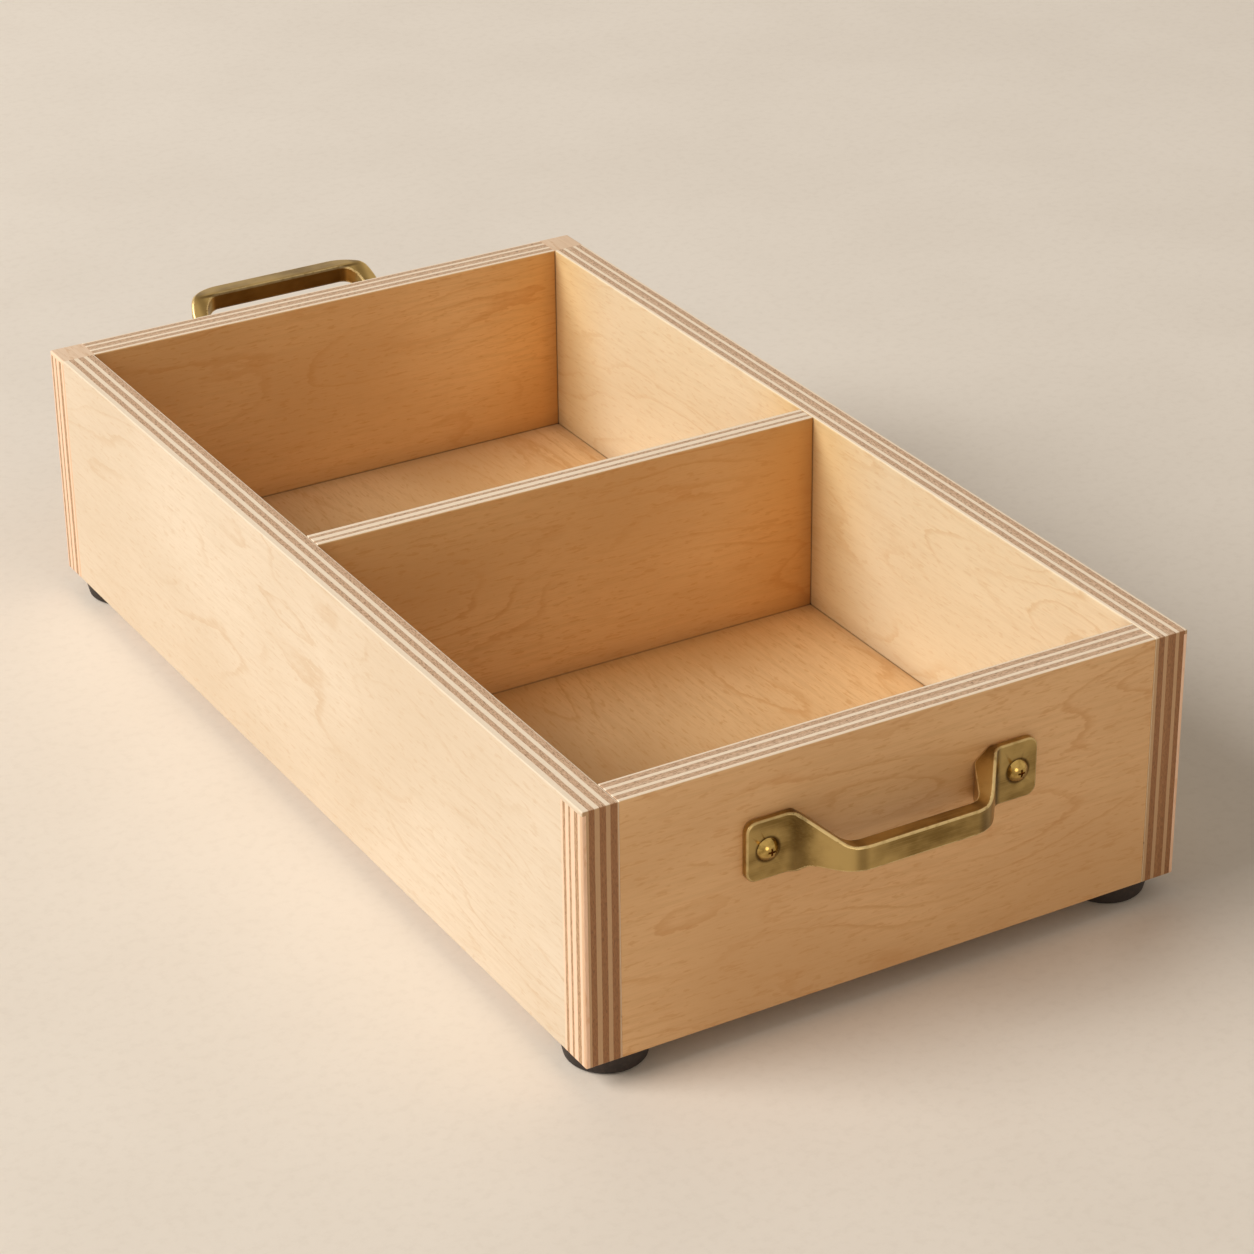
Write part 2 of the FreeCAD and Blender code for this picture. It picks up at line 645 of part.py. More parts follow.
def leg_view(end):
    """A leg, its plate and its half of the grip: from the front, or for the back pull from the side.

    The origin is the bend at the plate, and the leg runs from there towards minus X.
    """
    front = end == "front"
    label = f"{end}_pull_leg_view"
    low, top = [f"({end}_pull_grip_rise {sign} {end}_pull_grip_height / 2)" for sign in "-+"]
    head = f"-{leg_run(end)}" if front else f"(pull_plate_thickness - {grip_inner(end)})"
    heel = "-front_pull_heel" if front else head
    far = f"{end}_pull_centres"
    body = doc.addObject("PartDesign::Body", label)
    view = pad_outline(body, f"{label}_blank", "XY_Plane", [
        (f"-{far}", low), (heel, low), ("-pull_shoulder", f"-{PLATE_TOP}"),
        (far, f"-{PLATE_TOP}"), (far, PLATE_TOP), ("-pull_shoulder", PLATE_TOP),
        (head, top), (f"-{far}", top)], f"2 * {far}")
    round_corners(body, view, [
        ("upper_shoulder", "-pull_shoulder", PLATE_TOP, "pull_shoulder_round"),
        ("lower_shoulder", "-pull_shoulder", f"-{PLATE_TOP}", "pull_shoulder_round"),
        ("upper_waist", head, top, f"{end}_pull_waist"),
        ("lower_waist", heel, low, f"{end}_pull_heel_round")], 2, label)
    body.Placement = Placement(Vector(0, 0, 0), Rotation(Vector(0, 1, 0), 0 if front else 90))
    place(body, plate_inner(end), "0", "pull_plate_thickness")
    return body


def pull(end):
    """A pull, in a frame with X along it, Y up it and Z out of the panel."""
    front = end == "front"
    label = f"{end}_pull"
    body = new_body(label)
    grip_end, reach = f"{end}_pull_grip_half", f"{end}_pull_projection"
    inner_foot = f"({plate_inner(end)} - pull_leg_root)"
    bar = pad_outline(body, f"{label}_bar", "XZ_Plane", [
        ("0", grip_inner(end)), (inner_head(end), grip_inner(end)), (inner_foot, "0"),
        (plate_end(end), "0"), (plate_end(end), "pull_plate_thickness"),
        (plate_inner(end), "pull_plate_thickness"), (grip_end, reach), ("0", reach)],
        f"2 * {end}_pull_centres")
    round_corners(body, bar, [
        ("plate_bend", plate_inner(end), "pull_plate_thickness", "pull_plate_bend"),
        ("outer_bend", grip_end, reach, f"{end}_pull_bend"),
        ("inner_bend", inner_head(end), grip_inner(end), f"{end}_pull_inner_bend"),
        ("leg_bend", inner_foot, "0", "pull_leg_bend")], 1, label)
    trimmed = body.newObject("PartDesign::Boolean", f"{label}_trimmed")
    trimmed.Type = "Common"
    trimmed.setObjects([leg_view(end)])
    doc.recompute()
    round_corners(body, trimmed, [
        ("upper_corner", plate_end(end), PLATE_TOP, "pull_plate_corner"),
        ("lower_corner", plate_end(end), f"-{PLATE_TOP}", "pull_plate_corner")], 2, label)
    whole = body.newObject("PartDesign::Mirrored", f"{label}_whole")
    whole.TransformMode = "Whole shape"
    whole.MirrorPlane = (base_plane(body, "YZ_Plane"), [""])
    body.Tip = whole
    doc.recompute()
    edges = sharp_edges(whole.Shape, lambda middle: not near(middle.z, 0))
    ease(body, f"{label}_edges", whole, edges, f"{end}_pull_edge_round")
    doc.recompute()
    for side, sign in zip(SIDES, "-+"):
        drill(body, f"{label}_{side}_hole", "screw_radius + screw_clearance",
              "pull_plate_thickness", f"{sign}1 * {screw_x(end)}", "0", "0")
    body.Placement = Placement(Vector(0, 0, 0), OUTWARDS[end])
    place(body, f"{end}_pull_offset", BOX_FRONT if front else BOX_BACK,
          f"foot_height + panel_height - {end}_pull_depth")


def pull_screw(end, side):
    """A round-head screw, in a frame with Z out of the plate and its seat at the origin."""
    label = f"{end}_pull_screw_{side}"
    body = new_body(label)
    head = body.newObject("PartDesign::AdditiveSphere", f"{label}_head")
    dome = ("((pull_screw_head_radius * pull_screw_head_radius + pull_screw_head_height"
            " * pull_screw_head_height) / (2 * pull_screw_head_height))")
    drop = f"({dome} - pull_screw_head_height)"
    bind(head, Radius=dome, Angle1=f"asin({drop} / {dome})")
    place(head, "0", "0", f"-1 * {drop}")
    shank = body.newObject("PartDesign::AdditiveCylinder", f"{label}_shank")
    bind(shank, Radius="screw_radius", Height="pull_screw_length - screw_radius")
    place(shank, "0", "0", "screw_radius - pull_screw_length")
    tip = body.newObject("PartDesign::AdditiveCone", f"{label}_tip")
    bind(tip, Radius1="screw_radius / 5", Radius2="screw_radius", Height="screw_radius")
    place(tip, "0", "0", "-1 * pull_screw_length")
    for name, length, width in (("across", "cross_length", "cross_width"),
                                ("upright", "cross_width", "cross_length")):
        add_box(body, f"{label}_{name}", length, width, "cross_depth",
                f"-{length} / 2", f"-{width} / 2",
                "pull_screw_head_height - cross_depth", cut=True)
    front = end == "front"
    body.Placement = Placement(Vector(0, 0, 0), OUTWARDS[end])
    sign = "-" if side == "left" else "+"
    y = f"{BOX_FRONT} - pull_plate_thickness" if front else f"{BOX_BACK} + pull_plate_thickness"
    place(body, f"{end}_pull_offset {sign} {screw_x(end)}", y,
          f"foot_height + panel_height - {end}_pull_depth")


for end in ENDS:
    pull(end)
    for side in SIDES:
        pull_screw(end, side)

doc.recompute()

# Every feature has to be sound, and every sub-part a valid closed solid, before any is written.
for item in doc.Objects:
    if "Invalid" in item.State or "Error" in item.State:
        raise RuntimeError(f"{item.Label} failed: {item.State}")
for item in nodes:
    shape = item.Shape
    if shape.isNull() or not shape.isValid() or not shape.Solids:
        raise RuntimeError(f"{item.Label} has no valid solid")

os.makedirs("parts", exist_ok=True)
for item in nodes:
    item.Shape.exportStep(os.path.join("parts", f"{item.Label}.step"))
print(f"{len(nodes)} sub-parts written")
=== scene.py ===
import math

import bmesh
import bpy
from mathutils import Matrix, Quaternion, Vector


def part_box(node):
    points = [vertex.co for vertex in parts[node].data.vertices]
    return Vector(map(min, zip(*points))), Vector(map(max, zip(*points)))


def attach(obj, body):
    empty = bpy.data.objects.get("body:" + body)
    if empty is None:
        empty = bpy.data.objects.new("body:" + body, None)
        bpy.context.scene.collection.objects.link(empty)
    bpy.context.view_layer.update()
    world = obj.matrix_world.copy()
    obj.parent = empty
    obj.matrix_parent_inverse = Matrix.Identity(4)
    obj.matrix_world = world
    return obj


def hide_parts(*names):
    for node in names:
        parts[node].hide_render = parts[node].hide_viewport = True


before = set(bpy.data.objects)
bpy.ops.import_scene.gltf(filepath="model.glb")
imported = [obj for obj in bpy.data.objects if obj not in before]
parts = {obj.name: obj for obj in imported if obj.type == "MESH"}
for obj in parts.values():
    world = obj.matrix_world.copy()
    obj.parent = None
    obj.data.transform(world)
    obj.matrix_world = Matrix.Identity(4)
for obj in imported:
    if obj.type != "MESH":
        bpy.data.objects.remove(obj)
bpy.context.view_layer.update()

# The camera stands above and to the left of the front end, as it does in the photograph: the box
# is seen over its front left corner, with a long lens and a slight roll.
CAMERA_PLACE = Vector((-0.7969, -1.4350, 0.9063))
CAMERA_LENS = 108.2
CAMERA_SENSOR = 36.0
CAMERA_REACH = 50.0
CAMERA_TURN = math.radians(30.003)
CAMERA_DROP = math.radians(27.466)
CAMERA_ROLL = math.radians(-0.686)
ahead = Vector((math.sin(CAMERA_TURN) * math.cos(CAMERA_DROP),
                math.cos(CAMERA_TURN) * math.cos(CAMERA_DROP),
                -math.sin(CAMERA_DROP)))
camera = bpy.data.objects.new("camera", bpy.data.cameras.new("camera"))
bpy.context.scene.collection.objects.link(camera)
camera.data.lens = CAMERA_LENS
camera.data.sensor_width = CAMERA_SENSOR
camera.data.clip_end = CAMERA_REACH
camera.location = CAMERA_PLACE
camera.rotation_mode = "QUATERNION"
camera.rotation_quaternion = ahead.to_track_quat("-Z", "Y") @ Quaternion((0, 0, 1), CAMERA_ROLL)
bpy.context.scene.camera = camera


# The long side panels of light birch plywood. They run the whole length of the box, with the face
# grain along it, so the plies show along the rim and on the two end faces. The cross plies show
# their brown end grain on every edge, between thin light ones. Ply widths are in millimetres.
MM = 0.001
X, Y, Z = range(3)
LIGHT_PLY = (1.0, 0.83, 0.63)
BROWN_PLY = (0.67, 0.43, 0.265)
CORE_PLY = (0.76, 0.52, 0.34)
PLIES_OF_WALL = ((1.9, LIGHT_PLY, 0), (3.0, BROWN_PLY, 1), (1.9, LIGHT_PLY, 0), (1.9, CORE_PLY, 1),
                 (2.3, BROWN_PLY, 1), (1.9, LIGHT_PLY, 0), (3.0, BROWN_PLY, 1), (1.6, LIGHT_PLY, 0))
PLIES_OF_LEFT_SIDE = ((3.2, LIGHT_PLY, 0), (2.7, BROWN_PLY, 1), (2.4, LIGHT_PLY, 0), (3.0, BROWN_PLY, 1),
                      (2.1, LIGHT_PLY, 0), (3.2, BROWN_PLY, 1), (0.9, LIGHT_PLY, 0))
LEFT_VENEER = (0.735, 0.605, 0.455)
RIGHT_VENEER = (0.82, 0.68, 0.46)
SIDE_FIGURE = 0.6


class Value:
    """A number that varies over a surface. Sums with it add the Math nodes of a shader."""

    def __init__(self, socket):
        self.socket = socket

    def math(self, operation, *terms):
        node = self.socket.id_data.nodes.new("ShaderNodeMath")
        node.operation = operation
        for slot, term in zip(node.inputs, terms):
            if isinstance(term, Value):
                self.socket.id_data.links.new(term.socket, slot)
            else:
                slot.default_value = term
        return Value(node.outputs[0])

    def __add__(self, other):
        return self.math("ADD", self, other)

    def __sub__(self, other):
        return self.math("SUBTRACT", self, other)

    def __rsub__(self, other):
        return self.math("SUBTRACT", other, self)

    def __mul__(self, other):
        return self.math("MULTIPLY", self, other)

    def __truediv__(self, other):
        return self.math("DIVIDE", self, other)

    def __pow__(self, other):
        return self.math("POWER", self, other)

    def __mod__(self, other):
        return self.math("FLOORED_MODULO", self, other)

    def __abs__(self):
        return self.math("ABSOLUTE", self)

    __radd__ = __add__
    __rmul__ = __mul__

    def clamped(self):
        return self.math("MINIMUM", self.math("MAXIMUM", self, 0.0), 1.0)


class Finish:
    """A material or world in the making. put() adds a node: its type, its settings, then its sockets."""

    def __init__(self, name, group=bpy.data.materials):
        self.owner = group.new(name)
        self.owner.use_nodes = True
        self.tree = self.owner.node_tree
        self.tree.nodes.clear()

    def put(self, kind, settings=None, sockets=None, out=0):
        node = self.tree.nodes.new("ShaderNode" + kind)
        for name, setting in (settings or {}).items():
            if name == "stops":
                ramp = node.color_ramp.elements
                while len(ramp) < len(setting):
                    ramp.new(0.5)
                for element, (place, colour) in zip(ramp, setting):
                    element.position = place
                    element.color = colour
            else:
                setattr(node, name, setting)
        for name, given in (sockets or {}).items():
            if isinstance(given, Value):
                self.tree.links.new(given.socket, node.inputs[name])
            elif isinstance(given, bpy.types.NodeSocket):
                self.tree.links.new(given, node.inputs[name])
            elif isinstance(given, tuple) and len(given) == 3 and node.inputs[name].type == "RGBA":
                node.inputs[name].default_value = (*given, 1.0)
            else:
                node.inputs[name].default_value = given
        return node.outputs[out] if node.outputs else node

    def place(self):
        """The three coordinates of a point on the piece, in metres."""
        spot = self.put("TexCoord", out="Object")
        return [Value(axis) for axis in self.put("SeparateXYZ", sockets={"Vector": spot}).node.outputs]

    def noise(self, spot, waves, shifts=(0, 0, 0), detail=2.0, roughness=0.5, distortion=0.0):
        """Noise with its own number of waves a metre along each of three axes, moved by the shifts."""
        moved = [axis * wave + shift if shift else axis * wave
                 for axis, wave, shift in zip(spot, waves, shifts)]
        point = self.put("CombineXYZ", sockets=dict(zip("XYZ", moved)))
        return Value(self.put("TexNoise", {"noise_dimensions": "3D"},
                              {"Vector": point, "Scale": 1.0, "Detail": detail,
                               "Roughness": roughness, "Distortion": distortion}))

    def ease(self, value, low, high):
        """0 below low and 1 above high, with a smooth step between them."""
        return Value(self.put("MapRange", {"interpolation_type": "SMOOTHSTEP"},
                              {"Value": value, "From Min": low, "From Max": high}))

    def near(self, gap, full, end):
        """1 where the gap is under full millimetres, fading to 0 at end millimetres."""
        return 1.0 - self.ease(abs(gap), full * MM, end * MM)

    def mix(self, share, first, second, blend="MIX"):
        return self.put("Mix", {"data_type": "RGBA", "blend_type": blend},
                        {0: share, 6: first, 7: second}, out=2)

    def bump(self, strength, painted_light_towards_back, height):
        return self.put("Bump", sockets={"Strength": strength, "Distance": painted_light_towards_back * MM, "Height": height})

    def shade(self, **sockets):
        names = {name.replace("_", " "): given for name, given in sockets.items()}
        self.put("OutputMaterial", sockets={"Surface": self.put("BsdfPrincipled", sockets=names)})
        return self.owner


def give(node, material):
    parts[node].data.materials.clear()
    parts[node].data.materials.append(material)


def tinted(colour, tint):
    return tuple(min(1.0, channel * share) for channel, share in zip(colour, tint))


# The figure of the veneer, which is peeled from the log in one long sheet. Waves are counted per
# metre, along, across and through the veneer.
SWIRL_WAVES = (4.2, 16.0, 40.0)
RAGGED_WAVES = (150.0, 460.0, 90.0)
PRESENCE_WAVES = (9.0, 22.0, 30.0)
FINE_WAVES = (110.0, 1500.0, 60.0)
STREAK_WAVES = (26.0, 420.0, 60.0)
FLECK_WAVES = (130.0, 640.0, 90.0)
MOTTLE_WAVES = (6.0, 11.0, 30.0)
LINES_IN_SWIRL = 14.0
RAGGEDNESS = 0.26
PALE_TINT = (1.06, 1.06, 1.06)
DEEP_TINT = (0.90, 0.85, 0.78)
WARM_TINT = (0.80, 0.62, 0.42)


def birch_figure(finish, along, across, through, veneer, seed, figure):
    """The face of rotary-cut birch: thin wavy growth lines, short fine grain and small flecks."""
    grain = (along, across, through)
    swirl = finish.noise(grain, SWIRL_WAVES, (seed, 0, seed), roughness=0.40)
    ragged = finish.noise(grain, RAGGED_WAVES, (0, 0, seed))
    rings = (swirl * LINES_IN_SWIRL + ragged * RAGGEDNESS) % 1.0
    edge = finish.ease(rings, 0.76, 0.95) * (1.0 - finish.ease(rings, 0.95, 1.0))
    presence = finish.noise(grain, PRESENCE_WAVES, (0, 0, seed + 3.0))
    growth = edge * finish.ease(presence, 0.38, 0.66)
    fine = finish.noise(grain, FINE_WAVES, (0, 0, seed), 3.0, 0.6)
    streak = finish.noise(grain, STREAK_WAVES, (0, 0, seed), 2.0, 0.6)
    fleck = finish.noise(grain, FLECK_WAVES, (seed, 0, 0), distortion=0.3)
    mottle = finish.noise(grain, MOTTLE_WAVES, (seed, 0, 0))
    deep, warm = tinted(veneer, DEEP_TINT), tinted(veneer, WARM_TINT)
    ground = finish.mix(finish.ease(mottle, 0.30, 0.70) * figure, tinted(veneer, PALE_TINT), deep)
    ground = finish.mix(finish.ease(streak, 0.44, 0.66) * (0.50 * figure), ground, deep)
    ground = finish.mix(finish.ease(fine, 0.48, 0.72) * (0.28 * figure), ground, warm)
    ground = finish.mix(finish.ease(fleck, 0.58, 0.68) * (0.46 * figure), ground, warm)
    return finish.mix(growth * (0.48 * figure + 0.10), ground, warm), fine


# Where two pieces meet, a thin dark line follows the joint with a soft painted shade beside it, and
# the corners that get the light from the other walls carry painted bounce light, a warmer tint.
# Widths are in millimetres.
JOINT_LINE = (0.16, 0.07, 0.022)
PAINTED_JOINT_SHADE = (0.34, 0.17, 0.06)
PAINTED_BOUNCE_TINT = (0.97, 0.86, 0.64)
LINE_CORE, LINE_END = 0.1, 0.9
PAINTED_SHADE_END = 12.0
PAINTED_BOUNCE_END = 70.0
FACE_CORE, FACE_END = 0.1, 0.4


def joint_marks(finish, spot, colour, thick, faces, joints, warm):
    """Marks the joints on the given faces, each joint as its axis and its place along it, with painted
    shade beside them and painted bounce light near the warm ones.
    """
    on_face = sum(finish.near(spot[thick] - face, FACE_CORE, FACE_END) for face in faces)
    # Painted bounce light: near the given joints the inner face is tinted warmer.
    if warm:
        painted_bounce = sum(finish.near(spot[axis] - place, 0.0, PAINTED_BOUNCE_END) for axis, place in warm)
        colour = finish.mix(painted_bounce.clamped() * on_face, colour, PAINTED_BOUNCE_TINT, "MULTIPLY")
    gaps = [spot[axis] - place for axis, place in joints]
    # Painted shade: a soft darkening beside each joint, under the dark joint line.
    shade = sum(finish.near(gap, 0.0, PAINTED_SHADE_END) for gap in gaps) * on_face * 0.26
    line = sum(finish.near(gap, LINE_CORE, LINE_END) for gap in gaps) * on_face * 0.52
    return finish.mix(line.clamped(), finish.mix(shade.clamped(), colour, PAINTED_JOINT_SHADE), JOINT_LINE)


# The cut edges: every ply has a blurred border that wanders a little, pores with dark glue and
# dust in the cross plies, and the end faces, where the saw has cut across the whole panel, are darker.
DARK_GLUE = (0.19, 0.085, 0.03)
END_GRAIN = (0.51, 0.34, 0.19)
PLY_BLUR = 0.006
PLY_WANDER = 0.03
WANDER_WAVES = 30.0
PORE_WAVES_THROUGH, PORE_WAVES = 3400.0, 420.0
FIBRE_WAVES_THROUGH, FIBRE_WAVES = 1500.0, 45.0
SKIN_CORE, SKIN_END = 0.1, 0.5


def plywood(name, thick, along, low, plies, veneer, seed, figure=1.0, faces=(), joints=(), warm=(),
            ends=()):
    """Plywood as a solid: its plies lie one behind another along the axis thick, from low."""

    def layered(through, others):
        return tuple(through if axis == thick else others for axis in (X, Y, Z))

    finish = Finish(name)
    spot = finish.place()
    across = ({X, Y, Z} - {thick, along}).pop()
    thickness = sum(ply[0] for ply in plies) * MM
    wander = finish.noise(spot, layered(0.0, WANDER_WAVES), (seed, seed, seed), 3.0)
    depth = (spot[thick] - low) / thickness
    stops, reached = [], 0.0
    for count, (width, colour, cross) in enumerate(plies):
        start, reached = reached, reached + width * MM / thickness
        stops.append((start + PLY_BLUR * (count > 0), (*colour, cross)))
        stops.append((reached - PLY_BLUR, (*colour, cross)))
    shown = depth + (wander - 0.5) * PLY_WANDER
    layers = finish.put("ValToRGB", {"stops": stops}, {"Fac": shown}).node
    cross = Value(layers.outputs["Alpha"])
    pores = finish.noise(spot, layered(PORE_WAVES_THROUGH, PORE_WAVES), detail=3.0, roughness=0.65)
    fibre = finish.noise(spot, layered(FIBRE_WAVES_THROUGH, FIBRE_WAVES), (seed, seed, seed), 2.0, 0.6)
    edge = finish.mix(finish.ease(fibre, 0.35, 0.75) * (cross * 0.25 + 0.12),
                      layers.outputs["Color"], BROWN_PLY)
    edge = finish.mix((1.0 - finish.ease(pores, 0.30, 0.46)) * cross * 0.30, edge, LIGHT_PLY)
    for end in ends:
        at_end = finish.near(spot[along] - end, FACE_CORE, FACE_END)
        edge = finish.mix(at_end * (cross * 0.12 + 0.88), edge, END_GRAIN, "MULTIPLY")
    edge = finish.mix(finish.ease(pores, 0.50, 0.62) * (cross * 0.70 + 0.07), edge, DARK_GLUE)
    face, fine = birch_figure(finish, spot[along], spot[across], spot[thick], veneer, seed, figure)
    skin = finish.ease(abs(depth - 0.5), 0.5 - SKIN_END * MM / thickness, 0.5 - SKIN_CORE * MM / thickness)
    colour = finish.mix(skin, edge, face)
    if joints:
        colour = joint_marks(finish, spot, colour, thick, faces, joints, warm)
    relief = finish.bump(0.12, 0.2, fine * skin + pores * (1.0 - skin))
    return finish.shade(Base_Color=colour, Roughness=fine * 0.10 + 0.46, Normal=relief)


FLOOR_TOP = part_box("bottom_panel")[1].z
DIVIDER_FRONT, DIVIDER_BACK = (corner.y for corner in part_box("divider_panel"))
INSIDE_FRONT, INSIDE_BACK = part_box("front_panel")[1].y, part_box("back_panel")[0].y
INSIDE_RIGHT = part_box("side_panel_right")[0].x
ALONG_JOINTS = ((Y, INSIDE_FRONT), (Y, DIVIDER_FRONT), (Y, DIVIDER_BACK), (Y, INSIDE_BACK))
for side, seed, inner, plies, veneer in (
        ("left", 3.1, -INSIDE_RIGHT, PLIES_OF_LEFT_SIDE, LEFT_VENEER),
        ("right", 11.7, INSIDE_RIGHT, PLIES_OF_WALL, RIGHT_VENEER)):
    panel = "side_panel_" + side
    low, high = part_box(panel)
    give(panel, plywood("birch_" + panel, X, Y, low.x, plies, veneer, seed, SIDE_FIGURE, (inner,),
                        (*ALONG_JOINTS, (Z, FLOOR_TOP)), ((Y, DIVIDER_FRONT), (Y, INSIDE_BACK)),
                        (low.y, high.y)))

# The corner strips: bands of ply edge on the outer faces of the side panels, as wide as a wall is
# thick, let in flush at the front and back ends. Their plies lie one behind another along the box.
MIDDLE_PLY = (0.74, 0.48, 0.29)
TOASTED_LIGHT = (0.95, 0.64, 0.45)
TOASTED_BROWN = (0.46, 0.27, 0.135)
PLIES_OF_STRIP = ((1.6, MIDDLE_PLY, 0), (2.0, TOASTED_LIGHT, 0), (2.8, TOASTED_BROWN, 1),
                  (3.2, TOASTED_LIGHT, 0), (1.6, TOASTED_BROWN, 1), (2.8, TOASTED_LIGHT, 0),
                  (2.0, TOASTED_BROWN, 1), (1.5, TOASTED_LIGHT, 0))
for end, seed in (("front", 21.3), ("back", 27.9)):
    for side in ("left", "right"):
        strip = f"corner_strip_{end}_{side}"
        give(strip, plywood("birch_" + strip, Y, Z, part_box(strip)[0].y, PLIES_OF_STRIP, TOASTED_LIGHT,
                            seed + (side == "right")))

# The front and back panels, between the side panels, and the divider, which is thinner and has
# five plies. Their face grain runs across the box, and their veneer is warmer in tone and deeper
# than the side panels', as painted shade for faces that turn away from the key lamp.
FRONT_VENEER = (0.79, 0.482, 0.23)
INNER_VENEER = (0.87, 0.548, 0.248)
PLIES_OF_DIVIDER = ((2.4, LIGHT_PLY, 0), (1.9, BROWN_PLY, 1), (3.0, LIGHT_PLY, 0), (2.1, BROWN_PLY, 1),
                    (2.6, LIGHT_PLY, 0))
ACROSS_JOINTS = ((X, -INSIDE_RIGHT), (X, INSIDE_RIGHT))
for panel, plies, veneer, seed, faces in (
        ("front_panel", PLIES_OF_WALL, FRONT_VENEER, 31.2, (INSIDE_FRONT,)),
        ("back_panel", PLIES_OF_WALL, INNER_VENEER, 38.6, (INSIDE_BACK,)),
        ("divider_panel", PLIES_OF_DIVIDER, INNER_VENEER, 44.4, (DIVIDER_FRONT, DIVIDER_BACK))):
    give(panel, plywood("birch_" + panel, Y, X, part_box(panel)[0].y, plies, veneer, seed, 1.0, faces,
                        (*ACROSS_JOINTS, (Z, FLOOR_TOP)), ((X, INSIDE_RIGHT),)))

# The bottom panel lies in grooves in the four walls, with its face grain from front to back. A
# block of the same board under each of its corners holds the screw of a foot.
# The floor's veneer is deeper and warmer than the side panels', as painted shade for the floor inside the
# walls.
FLOOR_VENEER = (0.80, 0.525, 0.265)
PLIES_OF_FLOOR = ((1.3, LIGHT_PLY, 0), (2.1, BROWN_PLY, 1), (2.2, LIGHT_PLY, 0), (2.1, BROWN_PLY, 1),
                  (1.3, LIGHT_PLY, 0))
FLOOR_SEED, BLOCK_SEED = 52.8, 60.0
give("bottom_panel", plywood("birch_bottom_panel", Z, Y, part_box("bottom_panel")[0].z, PLIES_OF_FLOOR,
                             FLOOR_VENEER, FLOOR_SEED, 1.0, (FLOOR_TOP,), (*ALONG_JOINTS, *ACROSS_JOINTS),
                             ((X, -INSIDE_RIGHT), (Y, DIVIDER_BACK))))
for side in ("left", "right"):
    for end in ("front", "back"):
        block = f"foot_block_{end}_{side}"
        give(block, plywood("birch_" + block, Z, X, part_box(block)[0].z, PLIES_OF_FLOOR, FLOOR_VENEER,
                            BLOCK_SEED))

# The corner caps: small squares of plain mottled veneer, let in flush on the rim at the back.
CAP_VENEER = (0.84, 0.62, 0.44)
CAP_SEED = 71.0
for side in ("left", "right"):
    cap = "corner_cap_" + side
    finish = Finish("birch_" + cap)
    spot = finish.place()
    face, fine = birch_figure(finish, spot[Y], spot[X], spot[Z], CAP_VENEER, CAP_SEED, 1.0)
    give(cap, finish.shade(Base_Color=face, Roughness=0.55))

# Turned hardwood dowels hold the butt joints of the walls and of the divider.
LIGHT_DOWEL = (0.74, 0.54, 0.36)
DARK_DOWEL = (0.60, 0.40, 0.24)
DOWEL_PORE = (0.36, 0.2, 0.1)
DOWEL_PORE_WAVES = (900.0, 900.0, 900.0)
DOWEL_GRAIN_WAVES = (120.0, 120.0, 900.0)
finish = Finish("turned_hardwood")
spot = finish.place()
pores = finish.noise(spot, DOWEL_PORE_WAVES, detail=3.0, roughness=0.6)
grain = finish.noise(spot, DOWEL_GRAIN_WAVES)
tone = finish.mix(finish.ease(grain, 0.3, 0.7), LIGHT_DOWEL, DARK_DOWEL)
tone = finish.mix(finish.ease(pores, 0.6, 0.8) * 0.4, tone, DOWEL_PORE)
hardwood = finish.shade(Base_Color=tone, Roughness=0.6)
for side in ("left", "right"):
    give("divider_dowels_" + side, hardwood)
    for end in ("front", "back"):
        give(f"corner_dowels_{end}_{side}", hardwood)

# The two pulls are cast and milled brass, darkened and then brushed along their length, so the
# rounded edges are rubbed bright; they carry a painted highlight too, as do the outsides of the legs,
# and the creases, the bends, the palm faces and the rings round the screws carry painted shade.
# Widths are in millimetres, and what is FROM_GRIP lies that far past the end of the straight grip.
DARK_BRASS = (0.18, 0.11, 0.03)
BRUSHED_BRASS = (0.44, 0.305, 0.112)
PAINTED_HIGHLIGHT_BRASS = (0.62, 0.44, 0.175)
WEAR_AND_PAINTED_HIGHLIGHT_BRASS = (0.82, 0.62, 0.29)
PAINTED_SHADE_BRASS = (0.07, 0.035, 0.009)
BRUSH_WAVES = (40.0, 900.0, 2200.0)
CLOUD_WAVES = (45.0, 70.0, 70.0)
RUB_WAVES = (300.0, 300.0, 300.0)
FRONT_GRIP_HALF, FRONT_GRIP_DEPTH = 34.0, 8.0
BACK_GRIP_HALF, BACK_GRIP_DEPTH = 50.0, 11.0
LEG_FROM_GRIP, LEG_CORE, LEG_END = 6.0, 3.0, 9.0
CREASE_FROM_GRIP, CREASE_CORE, CREASE_END = 17.0, 0.5, 5.0
BEND_FROM_GRIP, BEND_CORE, BEND_END = -3.0, 0.5, 4.0
PLATE_FROM_GRIP, PLATE_FADE = 12.0, 8.0
GRIP_FADE = 8.0
PALM_CORE, PALM_END = 0.3, 1.2
RING_CORE, RING_END = 0.2, 1.5
EDGE_CURVATURE = 450.0
SHARP_TURN = math.radians(40)
MERGE_GAP = 1e-6


